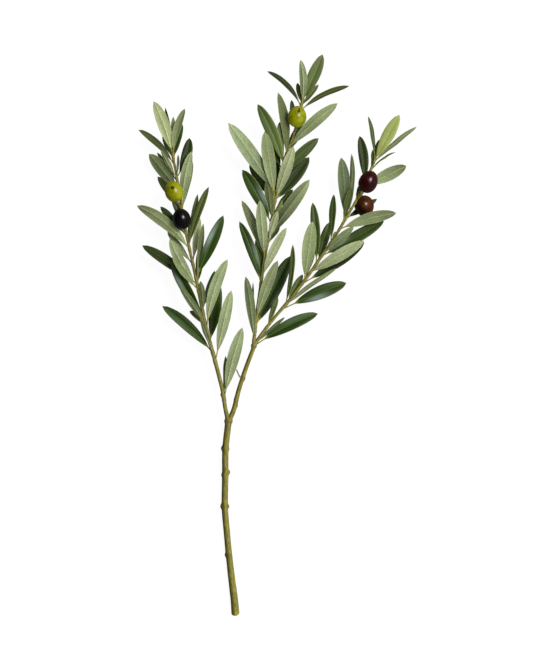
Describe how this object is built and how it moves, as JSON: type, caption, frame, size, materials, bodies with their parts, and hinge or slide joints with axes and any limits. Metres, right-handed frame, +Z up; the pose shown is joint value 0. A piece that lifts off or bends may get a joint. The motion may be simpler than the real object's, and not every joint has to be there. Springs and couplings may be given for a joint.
{
  "type": "olive branch",
  "caption": "Cut olive branch lying flat: a bare woody stem forks into leafy twigs of narrow two-tone leaves with ripening olives.",
  "frame": {"origin": "the middle of the branch's box, on the surface that it lies on", "axes": "+Y along the branch from its cut end to its leafy ends, +Z up from the surface"},
  "size_m": [0.2796, 0.5616, 0.0431],
  "materials": {
    "bark": "satin",
    "leaf": "satin",
    "green_olive": "gloss",
    "black_olive": "gloss",
    "purple_olive": "gloss",
    "brown_olive": "gloss"
  },
  "bodies": {
    "root": {"main_stem": "bark", "left_leafy_twig": "leaf", "middle_leafy_twig": "leaf", "right_leafy_twig": "leaf", "olive_green_left": "green_olive", "olive_black": "black_olive", "olive_green_middle": "green_olive", "olive_purple": "purple_olive", "olive_brown": "brown_olive"}
  },
  "joints": []
}
